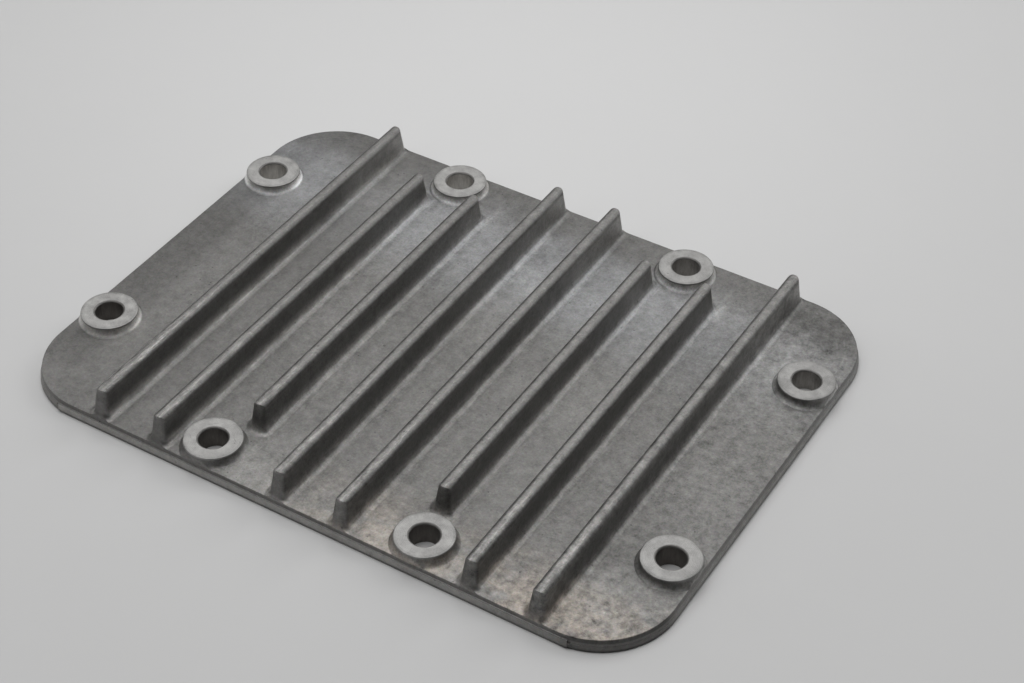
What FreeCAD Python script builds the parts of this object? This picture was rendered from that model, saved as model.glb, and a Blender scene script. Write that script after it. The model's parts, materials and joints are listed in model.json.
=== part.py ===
"""Finned cover of a die cast housing, in FreeCAD 1.1.

One aluminium casting: a thin rounded plate that bolts down on its flat
underside, eight drafted cooling fins on its top, and eight cast bosses whose
tops are spot faced and drilled for M6 screws.

Frame: the origin is the centre of the flat underside, +X runs across the fins
along the plate's long side, +Y runs along the fins and +Z points up.  The gate
side of the casting, with its trimmed land, is at -Y.  All sizes are in mm.
"""
import FreeCAD, Part

import math
import os

# ---- plate ----
PLATE_LENGTH = 160.0        # along X, at the parting line
PLATE_WIDTH = 119.6         # along Y, at the parting line
PLATE_THICKNESS = 3.2
CORNER_RADIUS = 18.2        # of the outline at the parting line
PARTING_HEIGHT = 0.5        # of the parting line above the underside
UPPER_DRAFT_SETBACK = 0.6   # the side wall leans in by this much up to the top face
LOWER_DRAFT_SETBACK = 0.15  # and by this much down to the underside

# ---- trimmed gate land on the -Y side ----
GATE_LAND_LENGTH = 130.0
GATE_LAND_TOP = 2.3         # above the underside; the land starts at the parting line
GATE_LAND_PROUD = 0.2       # how far its upper edge stands out of the drafted wall

# ---- fins ----
FIN_COUNT = 8
FIN_PITCH = 15.8
FIN_PATTERN_X = 1.7         # middle of the fin pattern, off the plate's middle
FIN_HEIGHT = 7.1            # above the plate's top face
FIN_CREST_WIDTH = 2.9
FIN_ROOT_WIDTH = 4.2        # where the drafted sides meet the top face
NEAR_END_DRAFT = 1.3        # a fin's crest is shorter than its root by this much at -Y
FAR_END_DRAFT = 1.0         # and by this much at +Y
FIN_EDGE_RADIUS = 1.3       # along a fin's crest and down its upright corners
FIN_ROOT_RADIUS = 1.6
FULL_FIN_SETBACK = 0.2      # from the top face's edge to a full fin's root
NEAR_SHORT_SETBACK = 2.0    # from the bosses' inner tangent to a short fin's root, at -Y
FAR_SHORT_SETBACK = 1.0     # the same at +Y
NEAR_SHORT_FINS = (2, 5)    # fins cut short at -Y, counted from -X
FAR_SHORT_FINS = (1, 2, 5, 6)   # fins cut short at +Y

# ---- bosses and screw holes ----
BOSS_DIAMETER = 12.7        # of the spot faced top
BOSS_HEIGHT = 2.3           # above the plate's top face
BOSS_DRAFT_ANGLE = 4.0      # degrees
BOSS_ROOT_CHAMFER = 0.5
SCREW_HOLE_DIAMETER = 6.5   # clearance for an M6 screw
HOLE_CHAMFER = 0.25
SIDE_BOSS_SPACING_X = 146.2     # the four bosses nearest the corners
SIDE_BOSS_SPACING_Y = 63.3
FAR_BOSS_SPACING = 63.2         # the pair along the +Y edge
NEAR_BOSS_SPACING = 54.2        # the pair along the -Y edge
EDGE_BOSS_ROW_SPACING = 105.6   # between those two rows

# ---- working values ----
FOOT_DEPTH = 1.0            # how far a feature is rooted below the top face
FOOT_MARGIN = 0.6           # plate kept round a root blend while it is made
UP = FreeCAD.Vector(0, 0, 1)
TOP = PLATE_THICKNESS
BOSS_TOP = TOP + BOSS_HEIGHT
BOSS_RADIUS = BOSS_DIAMETER / 2


def rounded_rectangle(half_x, half_y, radius, z):
    """Closed wire: a centred rectangle with four round corners, at height z."""
    arcs = []
    for step, (side_x, side_y) in enumerate(((1, 1), (-1, 1), (-1, -1), (1, -1))):
        centre = FreeCAD.Vector(side_x * (half_x - radius), side_y * (half_y - radius), z)
        arcs.append(Part.makeCircle(radius, centre, UP, 90 * step, 90 * step + 90))
    edges = []
    for step, arc in enumerate(arcs):
        following = arcs[(step + 1) % 4]
        edges += [arc, Part.makeLine(arc.Vertexes[-1].Point, following.Vertexes[0].Point)]
    return Part.Wire(edges)


def plate_outline(setback, z):
    """The plate's outline at height z, moved in from the parting line by setback."""
    return rounded_rectangle(PLATE_LENGTH / 2 - setback, PLATE_WIDTH / 2 - setback,
                             CORNER_RADIUS - setback, z)


def make_plate():
    """Rounded plate whose side wall is drafted both ways from the parting line."""
    below = Part.makeLoft([plate_outline(LOWER_DRAFT_SETBACK, 0.0),
                           plate_outline(0.0, PARTING_HEIGHT)], True, True)
    above = Part.makeLoft([plate_outline(0.0, PARTING_HEIGHT),
                           plate_outline(UPPER_DRAFT_SETBACK, TOP)], True, True)
    return below.fuse(above)


def make_gate_land():
    """Strip on the -Y wall, left where gates and flash were trimmed off."""
    wall_lean = UPPER_DRAFT_SETBACK / (TOP - PARTING_HEIGHT)
    upper_y = -PLATE_WIDTH / 2 + wall_lean * (GATE_LAND_TOP - PARTING_HEIGHT) - GATE_LAND_PROUD
    inner_y = -PLATE_WIDTH / 2 + 2 * UPPER_DRAFT_SETBACK
    start_x = -GATE_LAND_LENGTH / 2
    profile = Part.makePolygon([FreeCAD.Vector(start_x, y, z) for y, z in (
        (-PLATE_WIDTH / 2, PARTING_HEIGHT), (upper_y, GATE_LAND_TOP),
        (inner_y, GATE_LAND_TOP), (inner_y, PARTING_HEIGHT), (-PLATE_WIDTH / 2, PARTING_HEIGHT))])
    return Part.Face(profile).extrude(FreeCAD.Vector(GATE_LAND_LENGTH, 0, 0))


def root_edges(shape):
    """Edges where a feature rises from the top face of the foot it stands on."""
    top_face = max((face for face in shape.Faces
                    if abs(face.BoundBox.ZMin - TOP) < 1e-6
                    and abs(face.BoundBox.ZMax - TOP) < 1e-6),
                   key=lambda face: face.BoundBox.DiagonalLength)
    outer = top_face.OuterWire
    return [edge for wire in top_face.Wires if not wire.isSame(outer) for edge in wire.Edges]


def on_foot(feature, box, reach):
    """Stand a feature on a piece of plate that reaches past it on every side.

    The piece's top lies in the plate's own top face, so the piece disappears
    when the feature is fused to the plate, and only the blend at its root stays.
    """
    corner = FreeCAD.Vector(box.XMin - reach, box.YMin - reach, TOP - FOOT_DEPTH)
    foot = Part.makeBox(box.XLength + 2 * reach, box.YLength + 2 * reach, FOOT_DEPTH, corner)
    return foot.fuse(feature).removeSplitter()


def fin_ends(index):
    """Y of a fin's root at its -Y end and at its +Y end."""
    edge = PLATE_WIDTH / 2 - UPPER_DRAFT_SETBACK - FULL_FIN_SETBACK
    boss_tangent = EDGE_BOSS_ROW_SPACING / 2 - BOSS_RADIUS
    near = -(boss_tangent - NEAR_SHORT_SETBACK) if index in NEAR_SHORT_FINS else -edge
    far = boss_tangent - FAR_SHORT_SETBACK if index in FAR_SHORT_FINS else edge
    return near, far


def tapered_block(lower, upper):
    """Flat sided solid between two level rectangles, each given as (x0, x1, y0, y1, z)."""
    low, high = [[FreeCAD.Vector(x, y, z) for x, y in ((x0, y0), (x1, y0), (x1, y1), (x0, y1))]
                 for x0, x1, y0, y1, z in (lower, upper)]
    sides = [[low[i - 1], low[i], high[i], high[i - 1]] for i in range(4)]
    faces = [Part.Face(Part.makePolygon(ring + ring[:1])) for ring in [low[::-1], high] + sides]
    return Part.makeSolid(Part.makeShell(faces))


def make_fin(index):
    """One fin: drafted on its sides and ends, with a round crest and root fillets.

    The short edge at each end of the crest stays crisp, where the die's insert ends.
    """
    centre_x = FIN_PATTERN_X + (index - (FIN_COUNT - 1) / 2) * FIN_PITCH
    near, far = fin_ends(index)

    def section(height):
        """The fin's outline at a height above the top face, which may be below it."""
        share = height / FIN_HEIGHT
        half_width = (FIN_ROOT_WIDTH + (FIN_CREST_WIDTH - FIN_ROOT_WIDTH) * share) / 2
        return (centre_x - half_width, centre_x + half_width,
                near + NEAR_END_DRAFT * share, far - FAR_END_DRAFT * share, TOP + height)

    body = tapered_block(section(-FOOT_DEPTH / 2), section(FIN_HEIGHT))
    rounded = [edge for edge in body.Edges if edge.BoundBox.ZMax > TOP + FIN_HEIGHT / 2
               and edge.Length > FIN_CREST_WIDTH + 1e-6]
    body = body.makeFillet(FIN_EDGE_RADIUS, rounded)
    x0, x1, y0, y1, z = section(0.0)
    box = FreeCAD.BoundBox(x0, y0, z, x1, y1, z)
    standing = on_foot(body, box, FIN_ROOT_RADIUS + FOOT_MARGIN)
    return standing.makeFillet(FIN_ROOT_RADIUS, root_edges(standing))


def boss_centres():
    """Plan positions of the eight bosses."""
    side_x, side_y = SIDE_BOSS_SPACING_X / 2, SIDE_BOSS_SPACING_Y / 2
    row_y = EDGE_BOSS_ROW_SPACING / 2
    centres = [(x, y) for x in (-side_x, side_x) for y in (-side_y, side_y)]
    centres += [(x, row_y) for x in (-FAR_BOSS_SPACING / 2, FAR_BOSS_SPACING / 2)]
    centres += [(x, -row_y) for x in (-NEAR_BOSS_SPACING / 2, NEAR_BOSS_SPACING / 2)]
    return centres


def boss_cone(x, y, bottom):
    """Drafted boss from height bottom up to the spot faced top."""
    widening = math.tan(math.radians(BOSS_DRAFT_ANGLE)) * (BOSS_TOP - bottom)
    return Part.makeCone(BOSS_RADIUS + widening, BOSS_RADIUS, BOSS_TOP - bottom,
                         FreeCAD.Vector(x, y, bottom))


def make_boss(x, y):
    """A boss with the small bevel at its root."""
    body = boss_cone(x, y, TOP - FOOT_DEPTH / 2)
    standing = on_foot(body, body.BoundBox, BOSS_ROOT_CHAMFER + FOOT_MARGIN)
    return standing.makeChamfer(BOSS_ROOT_CHAMFER, root_edges(standing))


def make_screw_hole(x, y):
    """Cutter for one through hole with a small chamfer at its mouth."""
    radius = SCREW_HOLE_DIAMETER / 2
    bore = Part.makeCylinder(radius, BOSS_TOP + 2, FreeCAD.Vector(x, y, -1))
    mouth = Part.makeCone(radius, radius + 2 * HOLE_CHAMFER, 2 * HOLE_CHAMFER,
                          FreeCAD.Vector(x, y, BOSS_TOP - HOLE_CHAMFER))
    return bore.fuse(mouth)


def make_trim():
    """Everything that stays: what stands inside the plate's outline, and the bosses."""
    outline = Part.Face(plate_outline(UPPER_DRAFT_SETBACK, 0.0))
    keep = outline.extrude(FreeCAD.Vector(0, 0, TOP + FIN_HEIGHT + 1))
    cones = [boss_cone(x, y, 0.0) for x, y in boss_centres()]
    return keep.fuse(cones)


def make_cover():
    """The whole casting."""
    features = [make_fin(index) for index in range(FIN_COUNT)]
    features += [make_boss(x, y) for x, y in boss_centres()]
    raised = features[0].fuse(features[1:]).common(make_trim())
    casting = make_plate().fuse([make_gate_land(), raised]).removeSplitter()
    for x, y in boss_centres():
        casting = casting.cut(make_screw_hole(x, y))
    return casting


def main():
    os.makedirs("parts", exist_ok=True)
    cover = make_cover()
    cover = cover.Solids[0] if len(cover.Solids) == 1 else cover
    cover.exportStep("parts/finned_cover.step")
    print("finned_cover: solids", len(cover.Solids), "valid", cover.isValid(),
          "volume %.1f" % cover.Volume, "faces", len(cover.Faces), cover.BoundBox)


if __name__ == "__main__":
    main()
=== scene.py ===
"""Looks, lights and camera for the finned cover of a die cast housing.

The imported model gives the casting's box and its screw patterns.  The casting keeps
its CAD solid and gets one procedural finish for its cast skin, its trimmed gate land
and its drilled walls.  Geometry Nodes lay on it the spot faces of its bosses, the
blends at their roots, the thin flash round its side wall and the oxide specks of its
skin.  Patterns are in millimetres, the scene is in metres.
"""
import json
import logging
import math
from dataclasses import dataclass, field
from functools import cached_property
from typing import Any, Optional, Union

import bpy
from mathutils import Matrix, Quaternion, Vector


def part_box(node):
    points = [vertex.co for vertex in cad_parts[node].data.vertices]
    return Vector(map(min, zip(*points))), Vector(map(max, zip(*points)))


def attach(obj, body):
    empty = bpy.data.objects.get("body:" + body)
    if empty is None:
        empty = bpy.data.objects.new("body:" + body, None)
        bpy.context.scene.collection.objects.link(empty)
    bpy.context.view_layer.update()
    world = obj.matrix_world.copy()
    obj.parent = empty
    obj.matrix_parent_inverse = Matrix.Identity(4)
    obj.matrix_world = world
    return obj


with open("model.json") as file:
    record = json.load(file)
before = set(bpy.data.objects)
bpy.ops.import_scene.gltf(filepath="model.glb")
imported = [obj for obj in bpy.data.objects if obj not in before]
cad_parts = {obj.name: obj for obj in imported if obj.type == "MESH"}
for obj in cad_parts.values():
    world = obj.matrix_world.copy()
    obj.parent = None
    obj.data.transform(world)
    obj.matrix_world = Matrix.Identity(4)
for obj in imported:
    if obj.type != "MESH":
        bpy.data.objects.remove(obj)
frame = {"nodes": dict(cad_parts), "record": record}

LOG = logging.getLogger("finned_cover")
MM = 0.001
COVER = "finned_cover"
SEAM = 2e-6     # metres; closes the rings' seams
LOOSE = 1e-7    # metres; joins the solid's loose triangles

Number = Union[int, float]
Colour = tuple[float, float, float]
Socket = bpy.types.NodeSocket


# ---------------------------------------------------------------- node trees


class Wire:
    """An output socket on which Python arithmetic adds Math nodes."""

    def __init__(self, tree: "Tree", socket: Socket) -> None:
        """Wrap a socket.

        Args:
            tree: the builder that owns the socket.
            socket: the output socket.
        """
        self.tree = tree
        self.socket = socket

    def math(self, operation: str, *others: "Wire | Number") -> "Wire":
        """Add one Math node.

        Args:
            operation: the Math node's operation.
            others: the node's other values.

        Returns:
            The node's output.
        """
        return self.tree.wire("ShaderNodeMath", {"operation": operation},
                              dict(enumerate((self, *others))))

    def __add__(self, other: "Wire | Number") -> "Wire":
        """Sum."""
        return self.math("ADD", other)

    __radd__ = __add__

    def __sub__(self, other: "Wire | Number") -> "Wire":
        """Difference."""
        return self.math("SUBTRACT", other)

    def __rsub__(self, other: "Wire | Number") -> "Wire":
        """Difference from a number."""
        return self.tree.wire("ShaderNodeMath", {"operation": "SUBTRACT"}, {0: other, 1: self})

    def __mul__(self, other: "Wire | Number") -> "Wire":
        """Product."""
        return self.math("MULTIPLY", other)

    __rmul__ = __mul__

    def __truediv__(self, other: "Wire | Number") -> "Wire":
        """Quotient."""
        return self.math("DIVIDE", other)

    def __pow__(self, other: "Wire | Number") -> "Wire":
        """Power."""
        return self.math("POWER", other)

    def __neg__(self) -> "Wire":
        """Opposite."""
        return self.math("MULTIPLY", -1.0)

    def __abs__(self) -> "Wire":
        """Size without its sign."""
        return self.math("ABSOLUTE")

    def least(self, other: "Wire | Number") -> "Wire":
        """The lower of two values."""
        return self.math("MINIMUM", other)

    def most(self, other: "Wire | Number") -> "Wire":
        """The higher of two values."""
        return self.math("MAXIMUM", other)

    def rise(self, start: Number, end: Number) -> "Wire":
        """A smooth step.

        Args:
            start: where the result is 0.
            end: where the result is 1; it may be below start.

        Returns:
            A value from 0 to 1.
        """
        low, high = (start, end) if start < end else (end, start)
        ends = {"From Min": low, "From Max": high,
                "To Min": 0.0 if start < end else 1.0, "To Max": 1.0 if start < end else 0.0}
        return self.tree.wire("ShaderNodeMapRange", {"interpolation_type": "SMOOTHSTEP"},
                              {"Value": self, **ends})

    def between(self, start: Number, full: Number, last: Number, end: Number) -> "Wire":
        """A smooth band: 0 at start, 1 from full to last and 0 again at end."""
        return self.rise(start, full) * self.rise(end, last)

    def window(self, centre: Number, flat: Number, reach: Number) -> "Wire":
        """A smooth band about a centre: 1 within flat of it and 0 beyond reach."""
        return abs(self - centre).rise(reach, flat)


class Tree:
    """Builder for a shader or geometry node tree."""

    def __init__(self, nodes: bpy.types.NodeTree) -> None:
        """Start on an emptied tree.

        Args:
            nodes: the tree to build in.
        """
        self.nodes = nodes
        self.nodes.nodes.clear()

    def node(self, kind: str, settings: Optional[dict[str, Any]] = None,
             inputs: Optional[dict[Union[str, int], Any]] = None) -> bpy.types.Node:
        """Add a node.

        Args:
            kind: the node's type.
            settings: its properties, set first.
            inputs: values or links, by socket name or number.

        Returns:
            The node.
        """
        made = self.nodes.nodes.new(kind)
        for name, value in (settings or {}).items():
            setattr(made, name, value)
        for name, value in (inputs or {}).items():
            self.feed(made.inputs[name], value)
        return made

    def feed(self, socket: Socket, value: Any) -> None:
        """Link or set one input socket."""
        if isinstance(value, Wire):
            self.nodes.links.new(value.socket, socket)
        elif isinstance(value, bpy.types.NodeSocket):
            self.nodes.links.new(value, socket)
        else:
            socket.default_value = value

    def wire(self, kind: str, settings: Optional[dict[str, Any]] = None,
             inputs: Optional[dict[Union[str, int], Any]] = None,
             output: Union[str, int] = 0) -> Wire:
        """Add a node and wrap one of its outputs."""
        return Wire(self, self.node(kind, settings, inputs).outputs[output])

    def vector(self, x: Wire, y: Wire, z: Wire) -> Wire:
        """Join three numbers into a vector."""
        return self.wire("ShaderNodeCombineXYZ", None, {0: x, 1: y, 2: z})

    def parts(self, vector: Wire) -> list[Wire]:
        """Split a vector into its three numbers."""
        split = self.node("ShaderNodeSeparateXYZ", None, {0: vector})
        return [Wire(self, socket) for socket in split.outputs]


class Shade(Tree):
    """Builder for one material."""

    def __init__(self, name: str) -> None:
        """Make an empty material.

        Args:
            name: the material's name.
        """
        self.material = bpy.data.materials.new(name)
        self.material.use_nodes = True
        super().__init__(self.material.node_tree)
        place = self.node("ShaderNodeTexCoord").outputs["Object"]
        self.place = self.wire("ShaderNodeVectorMath", {"operation": "SCALE"},
                               {0: place, "Scale": 1.0 / MM})
        self.x, self.y, self.z = self.parts(self.place)

    def noise(self, size: float, detail: float = 3.0, stretch: Colour = (1.0, 1.0, 1.0),
              rough: float = 0.55, shift: float = 0.0, warp: float = 0.0) -> Wire:
        """Smooth noise around 0.5.

        Args:
            size: the size of its main lumps, in millimetres.
            detail: how many finer layers it has.
            stretch: how much longer the lumps are along each axis.
            rough: how strong the finer layers are.
            shift: moves the pattern, so that two of one size differ.
            warp: how far the pattern is pulled about.

        Returns:
            The value.
        """
        scale = tuple(1.0 / (size * share) for share in stretch)
        where = self.wire("ShaderNodeMapping", {"vector_type": "POINT"},
                          {"Vector": self.place, "Scale": scale,
                           "Location": (shift, shift * 0.7, shift * 0.3)})
        return self.wire("ShaderNodeTexNoise", {"noise_dimensions": "3D"},
                         {"Vector": where, "Scale": 1.0, "Detail": detail,
                          "Roughness": rough, "Distortion": warp})

    def cells(self, size: float, shift: float = 0.0) -> Wire:
        """Distance to the nearest of points scattered about size millimetres apart."""
        where = self.wire("ShaderNodeMapping", {"vector_type": "POINT"},
                          {"Vector": self.place, "Scale": (1 / size,) * 3,
                           "Location": (shift, shift, shift)})
        return self.wire("ShaderNodeTexVoronoi", {"feature": "F1"},
                         {"Vector": where, "Scale": 1.0}, "Distance")

    def mix(self, share: Wire, first: Any, second: Any) -> Wire:
        """Blend two colours, second where share is 1."""
        ends = {number: (*value, 1.0) if isinstance(value, tuple) else value
                for number, value in ((6, first), (7, second))}
        return self.wire("ShaderNodeMix", {"data_type": "RGBA"}, {0: share, **ends}, 2)

    def tinted(self, colour: Any, factor: Wire) -> Wire:
        """A colour made lighter or darker by a number."""
        return self.wire("ShaderNodeVectorMath", {"operation": "MULTIPLY"},
                         {0: colour, 1: self.vector(factor, factor, factor)})

    def hued(self, colour: Any, size: float, strength: float) -> Wire:
        """A colour whose hue drifts a little from speck to speck.

        Args:
            colour: the colour.
            size: the size of the specks, in millimetres.
            strength: how far the hue drifts.

        Returns:
            The new colour.
        """
        where = self.wire("ShaderNodeVectorMath", {"operation": "SCALE"},
                          {0: self.place, "Scale": 1.0 / size})
        noise = self.wire("ShaderNodeTexNoise", {"noise_dimensions": "3D"},
                          {"Vector": where, "Scale": 1.0, "Detail": 2.0, "Roughness": 0.6}, "Color")
        low, high = 1.0 - strength, 1.0 + strength
        drift = self.wire("ShaderNodeMix", {"data_type": "VECTOR", "factor_mode": "NON_UNIFORM"},
                          {1: noise, 4: (low,) * 3, 5: (high,) * 3}, 1)
        return self.wire("ShaderNodeVectorMath", {"operation": "MULTIPLY"},
                         {0: colour, 1: drift})

    def stroke(self, start: tuple[float, float], end: tuple[float, float],
               width: float) -> Wire:
        """A fine straight mark in plan.

        Args:
            start: one end, in millimetres.
            end: the other end.
            width: how wide the mark is.

        Returns:
            1 on the mark and 0 off it.
        """
        length = math.hypot(end[0] - start[0], end[1] - start[1])
        along = ((end[0] - start[0]) / length, (end[1] - start[1]) / length)
        travel = (self.x - start[0]) * along[0] + (self.y - start[1]) * along[1]
        offset = abs((self.x - start[0]) * -along[1] + (self.y - start[1]) * along[0])
        fade = 0.6
        return offset.rise(width, 0.0) * travel.between(0.0, fade, length - fade, length)

    def finish(self, inputs: dict[str, Any]) -> bpy.types.Material:
        """Close the material with a Principled shader.

        Args:
            inputs: the shader's values and links.

        Returns:
            The material.
        """
        shader = self.node("ShaderNodeBsdfPrincipled", None, inputs)
        self.node("ShaderNodeOutputMaterial", None, {"Surface": shader.outputs[0]})
        return self.material

    def bump(self, height: Wire, depth: float, below: Optional[Wire] = None) -> Wire:
        """Turn a height into a normal.

        Args:
            height: the height, 0 to 1.
            depth: how deep 1 is, in millimetres.
            below: a normal that this one lies on.

        Returns:
            The normal.
        """
        inputs: dict[str, Any] = {"Height": height, "Distance": depth * MM, "Strength": 1.0}
        if below is not None:
            inputs["Normal"] = below
        return self.wire("ShaderNodeBump", None, inputs)


# ---------------------------------------------------------------- the cover's sizes


@dataclass(frozen=True)
class ScrewRow:
    """Screw holes at the corners of a rectangle, or at the ends of a line.

    Attributes:
        centre: the pattern's middle in plan, in millimetres.
        half: half its spacing along X and Y.
    """

    centre: tuple[float, float]
    half: tuple[float, float]

    def places(self) -> list[tuple[float, float]]:
        """Plan positions of the row's holes."""
        return sorted({(self.centre[0] + side * self.half[0], self.centre[1] + end * self.half[1])
                       for side in (-1, 1) for end in (-1, 1)})


@dataclass(frozen=True)
class CoverSizes:
    """Sizes of the casting in millimetres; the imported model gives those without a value.

    Attributes:
        low: the casting's lowest corner.
        high: its highest corner.
        rows: its screw hole patterns.
        hole_radius: radius of a screw hole.
        boss_top: height of the spot faces.
        plate_top: height of the plate's top face.
        boss_radius: radius of a spot face.
        land_half_length: half the length of the trimmed gate land.
        land_top: height of the land's upper edge.
        fin_pitch: from one fin to the next.
        fin_shift: where the middle of the row of fins lies.
        corner: radius of the plate's corners.
        parting: height of the parting line.
        lean: how far the side wall leans in from there to the top face.
    """

    low: Vector
    high: Vector
    rows: tuple[ScrewRow, ...]
    hole_radius: float
    boss_top: float
    plate_top: float = 3.2
    boss_radius: float = 6.35
    land_half_length: float = 65.0
    land_top: float = 2.3
    fin_pitch: float = 15.8
    fin_shift: float = 1.7
    corner: float = 18.2
    parting: float = 0.5
    lean: float = 0.6

    @classmethod
    def from_frame(cls) -> "CoverSizes":
        """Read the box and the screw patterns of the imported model."""
        low, high = (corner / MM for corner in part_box(COVER))
        patterns = [m for m in frame["record"]["mounts"] if m["kind"] == "bolt_pattern"]
        rows = tuple(
            ScrewRow((m["pos_m"][0] / MM, m["pos_m"][1] / MM),
                     (m["dims"].get("spacing_x_mm", 0.0) / 2,
                      m["dims"].get("spacing_y_mm", 0.0) / 2))
            for m in patterns)
        return cls(low, high, rows, patterns[0]["dims"]["hole_r_mm"], patterns[0]["pos_m"][2] / MM)

    def bosses(self, height: float) -> list[tuple[float, float, float]]:
        """Points at a height on the axes of all the bosses."""
        return [(x, y, height) for row in self.rows for x, y in row.places()]

    def wall_inset(self, height: float) -> float:
        """How far inside the box the drafted side wall lies at a height."""
        return self.lean * (height - self.parting) / (self.plate_top - self.parting)

    def open_outline(self, height: float, gap: float) -> list[tuple[float, float, float]]:
        """Points round the side wall, open across the middle of the gate side.

        Args:
            height: the points' height.
            gap: half the width of the opening.

        Returns:
            The points, from the opening's right end round to its left end.
        """
        inset = self.wall_inset(height)
        half_x, half_y, radius = self.high.x - inset, self.high.y - inset, self.corner - inset
        points = [(gap, -half_y, height)]
        steps = 12
        for start, side_x, side_y in ((-90, 1, -1), (0, 1, 1), (90, -1, 1), (180, -1, -1)):
            for step in range(steps + 1):
                turn = math.radians(start + 90 * step / steps)
                points.append((side_x * (half_x - radius) + radius * math.cos(turn),
                               side_y * (half_y - radius) + radius * math.sin(turn), height))
        return points + [(-gap, -half_y, height)]


# ---------------------------------------------------------------- finishes


class CoverShade(Shade):
    """Builder for a material that follows the cover's own forms, in millimetres."""

    def __init__(self, name: str, sizes: CoverSizes) -> None:
        """Make an empty material.

        Args:
            name: the material's name.
            sizes: the casting's sizes.
        """
        super().__init__(name)
        self.sizes = sizes

    @cached_property
    def above(self) -> Wire:
        """Height over the plate's top."""
        return self.z - self.sizes.plate_top

    @cached_property
    def top(self) -> Wire:
        """1 on the plate's top and above it."""
        return self.above.rise(-0.3, -0.05)

    @cached_property
    def in_from_gate(self) -> Wire:
        """Distance from the gate side."""
        return self.y - self.sizes.low.y

    @cached_property
    def away(self) -> Wire:
        """Distance in plan to the nearest screw hole's axis."""
        nearest: Optional[Wire] = None
        for row in self.sizes.rows:
            across = abs(self.x - row.centre[0]) - row.half[0]
            along = abs(self.y - row.centre[1]) - row.half[1]
            distance = (across * across + along * along) ** 0.5
            nearest = distance if nearest is None else nearest.least(distance)
        return nearest

    @cached_property
    def depth(self) -> Wire:
        """Distance in plan inside the plate's outline, up to its corner radius."""
        corner = self.sizes.corner
        across = (abs(self.x) - (self.sizes.high.x - corner)).most(0.0)
        along = (abs(self.y) - (self.sizes.high.y - corner)).most(0.0)
        return corner - (across * across + along * along) ** 0.5


@dataclass(frozen=True)
class TonePatch:
    """A soft lighter or darker patch on the plate's top.

    Attributes:
        x: its middle across the fins, in millimetres.
        y: its middle along them.
        half_x: how far it reaches across.
        half_y: how far it reaches along.
        change: how much lighter it is; below 0 it is darker.
    """

    x: float
    y: float
    half_x: float
    half_y: float
    change: float

    def build(self, shade: CoverShade) -> Wire:
        """Change of brightness that fades out over the patch's outer half."""
        flat = 0.45
        return (shade.x.window(self.x, self.half_x * flat, self.half_x)
                * shade.y.window(self.y, self.half_y * flat, self.half_y) * self.change)


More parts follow.
